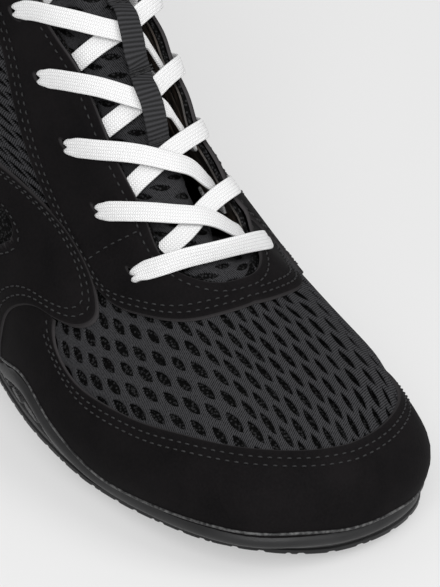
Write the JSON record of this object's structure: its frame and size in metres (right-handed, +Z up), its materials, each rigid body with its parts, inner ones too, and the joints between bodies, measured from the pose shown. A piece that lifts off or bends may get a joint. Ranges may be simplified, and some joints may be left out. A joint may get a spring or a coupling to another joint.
{
  "type": "boxing shoe",
  "caption": "Mid-height boxing shoe for the left foot: thin cupped rubber sole, hollow mesh upper with toe rand, side saddles, eyestay, heel counter, tongue and criss-cross flat lace.",
  "frame": {"origin": "centre of the heel's flat spot on the underside of the sole", "axes": "+X to the toe, +Y to the outer side of the foot, +Z up"},
  "size_m": [0.2886, 0.0928, 0.1723],
  "materials": {
    "sole_rubber": "matt dark grey moulded rubber",
    "insole_foam": "black fabric over foam",
    "air_mesh": "open black knitted air mesh",
    "nubuck": "black matt nubuck with twin stitch rows",
    "lace_braid": "white flat braid",
    "webbing": "dark grey ribbed webbing"
  },
  "bodies": {
    "root": {"outsole": "sole_rubber", "insole": "insole_foam", "upper": "air_mesh", "tongue": "air_mesh", "toe_rand": "nubuck", "saddle_inner": "nubuck", "saddle_outer": "nubuck", "heel_counter": "nubuck", "collar_band": "nubuck", "eyestay": "nubuck", "lace_bar": "lace_braid", "lace_cross_1": "lace_braid", "lace_cross_2": "lace_braid", "lace_cross_3": "lace_braid", "lace_cross_4": "lace_braid", "lace_cross_5": "lace_braid", "lace_cross_6": "lace_braid", "lace_cross_7": "lace_braid", "lace_keeper": "webbing"}
  },
  "joints": []
}
